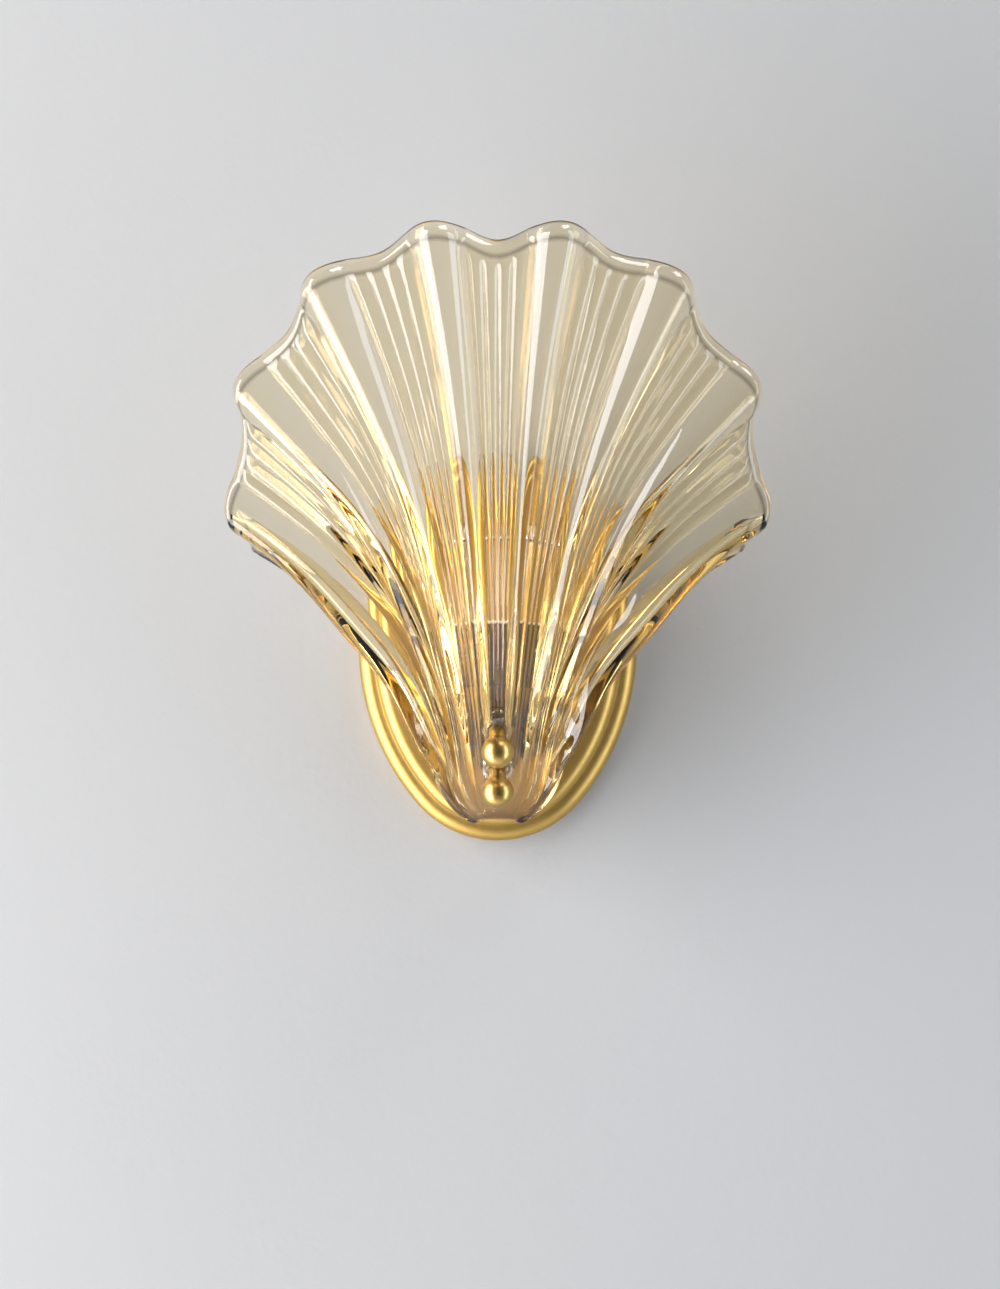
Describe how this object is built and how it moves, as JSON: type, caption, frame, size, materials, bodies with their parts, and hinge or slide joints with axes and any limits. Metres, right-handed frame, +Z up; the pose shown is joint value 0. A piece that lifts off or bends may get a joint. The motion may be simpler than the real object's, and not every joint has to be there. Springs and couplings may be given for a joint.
{
  "type": "shell wall sconce",
  "caption": "Wall sconce with a fluted, scallop-edged glass shell that hides a pin-base lamp, held by ball finials on a brushed brass arm over a stepped oval backplate.",
  "frame": {"origin": "on the wall, at the centre of the oval backplate and of its bracket", "axes": "+X to the sconce's right as seen from the room, +Y into the wall, +Z up; the shade stands out towards -Y"},
  "size_m": [0.197, 0.1213, 0.2236],
  "materials": {
    "satin_brass": "brushed satin",
    "zinc_steel": "zinc plated",
    "bright_steel": "nickel plated",
    "shell_glass": "clear, warm tint, polished",
    "bulb_glass": "clear",
    "clear_rubber": "translucent silicone",
    "white_ceramic": "glazed ceramic",
    "white_plastic": "matte",
    "live_insulation": "matte",
    "neutral_insulation": "matte",
    "earth_insulation": "matte"
  },
  "bodies": {
    "fixture": {"wall_bracket": "zinc_steel", "backplate": "satin_brass", "side_screws": "satin_brass", "terminal_block": "white_plastic", "terminal_screws": "bright_steel", "earth_screw": "bright_steel", "earth_lug": "bright_steel", "earth_wire": "earth_insulation", "live_wire": "live_insulation", "neutral_wire": "neutral_insulation", "arm": "satin_brass", "arm_tube": "zinc_steel", "arm_nut": "zinc_steel", "shade_studs": "bright_steel", "inner_gaskets": "clear_rubber", "glass_shade": "shell_glass", "outer_gaskets": "clear_rubber", "lamp_cup": "satin_brass", "cup_tube": "zinc_steel", "cup_nut": "zinc_steel", "lamp_holder": "white_ceramic", "contact_springs": "bright_steel"},
    "upper_finial": {"upper_finial": "satin_brass"},
    "lower_finial": {"lower_finial": "satin_brass"},
    "bulb": {"bulb_base": "bulb_glass", "bulb_pins": "bright_steel", "bulb_capsule": "bulb_glass", "bulb_filament": "bright_steel"}
  },
  "joints": [
    {"name": "upper_finial_turn", "type": "hinge", "parent": "fixture", "child": "upper_finial", "pos_m": [0, -0.05485, -0.0306], "axis": [0, -0.766, -0.6428], "continuous": true},
    {"name": "lower_finial_turn", "type": "hinge", "parent": "fixture", "child": "lower_finial", "pos_m": [0, -0.0421, -0.0458], "axis": [0, -0.766, -0.6428], "continuous": true},
    {"name": "bulb_lift", "type": "slide", "parent": "fixture", "child": "bulb", "axis": [0, 0, 1], "range_m": [0, 0.02]}
  ]
}
